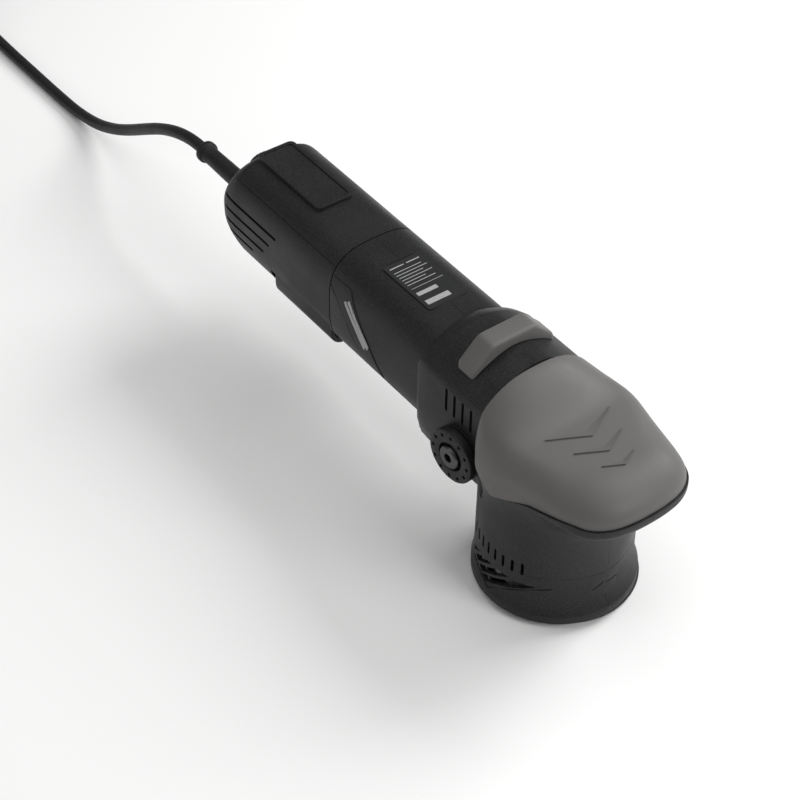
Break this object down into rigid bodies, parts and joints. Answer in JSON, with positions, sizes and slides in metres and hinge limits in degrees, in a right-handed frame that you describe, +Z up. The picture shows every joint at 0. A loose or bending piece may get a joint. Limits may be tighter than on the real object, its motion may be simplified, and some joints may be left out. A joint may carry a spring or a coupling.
{
  "type": "dual action polisher",
  "caption": "Compact dual action polisher with a barrel grip, right-angle head, soft palm cover, paddle switch, speed dial, eccentric backing plate and a coiled mains lead",
  "frame": {"origin": "middle of the tool's footprint, on the surface it stands on (mains lead left out)", "axes": "+Z up, +X from the cord end towards the head, +Y to the tool's right"},
  "size_m": [0.7416, 0.1494, 0.124],
  "materials": {
    "black_plastic": "fine moulded texture",
    "grey_rubber": "soft-touch overmould",
    "black_rubber": "matt",
    "steel": "ground",
    "dark_steel": "black oxide",
    "aluminium": "die cast",
    "copper": "enamelled copper",
    "brass": "plain",
    "carbon": "pressed carbon",
    "board_green": "solder mask",
    "label": "satin, blank",
    "hook_fabric": "hook pile"
  },
  "bodies": {
    "housing": {"handle_lower_shell": "black_plastic", "handle_upper_cover": "black_plastic", "strain_relief": "black_rubber", "cord_clamp": "black_plastic", "dial_post": "dark_steel", "speed_board": "board_green", "switch_body": "black_plastic", "paddle_pin": "steel", "motor_housing": "black_plastic", "rating_label": "label", "stator_core": "dark_steel", "field_winding_front": "copper", "field_winding_rear": "copper", "fan_baffle": "black_plastic", "front_motor_bearing": "steel", "rear_motor_bearing": "steel", "rear_bearing_bracket": "black_plastic", "brush_holder_left": "brass", "brush_holder_right": "brass", "carbon_brush_left": "carbon", "carbon_brush_right": "carbon", "gear_case": "aluminium", "gear_case_base": "aluminium", "lower_spindle_bearing": "steel", "upper_spindle_bearing": "steel", "head_shell_left": "black_plastic", "head_shell_right": "black_plastic", "palm_cover": "grey_rubber", "side_ring_left": "black_plastic", "side_ring_right": "black_plastic", "side_screw_left": "dark_steel", "side_screw_right": "dark_steel", "cord_lead": "black_rubber", "cord_coil": "black_rubber", "cord_tail": "black_rubber", "plug_body": "black_rubber", "plug_pin_a": "brass", "plug_pin_b": "brass"},
    "armature": {"armature_shaft": "steel", "armature_core": "dark_steel", "commutator": "copper", "cooling_fan": "black_plastic", "pinion_gear": "steel"},
    "spindle": {"drive_spindle": "steel", "bevel_gear": "steel", "counterweight": "aluminium", "eccentric_bearing": "steel"},
    "plate": {"backing_plate": "black_rubber", "hook_face": "hook_fabric", "plate_stub": "dark_steel", "plate_screw": "dark_steel"},
    "paddle": {"paddle_lever": "black_plastic"},
    "button": {"switch_button": "dark_steel"},
    "dial": {"speed_dial": "black_plastic"},
    "lock": {"lock_slider": "grey_rubber", "lock_pin": "steel"}
  },
  "joints": [
    {"name": "motor_spin", "type": "hinge", "parent": "housing", "child": "armature", "pos_m": [0, 0, 0.08], "axis": [1, 0, 0], "continuous": true},
    {"name": "spindle_spin", "type": "hinge", "parent": "housing", "child": "spindle", "pos_m": [0.1255, 0, 0.05], "axis": [0, 0, 1], "continuous": true},
    {"name": "plate_spin", "type": "hinge", "parent": "spindle", "child": "plate", "pos_m": [0.12821, 0.00359, 0.01], "axis": [0, 0, 1], "continuous": true},
    {"name": "paddle_hinge", "type": "hinge", "parent": "housing", "child": "paddle", "pos_m": [-0.032, 0, 0.06], "axis": [0, 1, 0], "range_deg": [0, 3], "stiffness_Nm_per_rad": 0.6, "springref_deg": -5.73},
    {"name": "button_slide", "type": "slide", "parent": "housing", "child": "button", "axis": [0, 0, 1], "range_m": [0, 0.0017]},
    {"name": "dial_turn", "type": "hinge", "parent": "housing", "child": "dial", "pos_m": [-0.1128, 0, 0.0985], "axis": [0, 0, 1], "range_deg": [0, 290]},
    {"name": "lock_slide", "type": "slide", "parent": "housing", "child": "lock", "axis": [1, 0, 0], "range_m": [0, 0.004], "stiffness_N_per_m": 400, "springref_m": -0.004}
  ],
  "couplings": [
    {"joint": "spindle_spin", "follows": "motor_spin", "ratio": -0.33333},
    {"joint": "button_slide", "follows": "paddle_hinge", "m_per_rad": 0.0305}
  ]
}
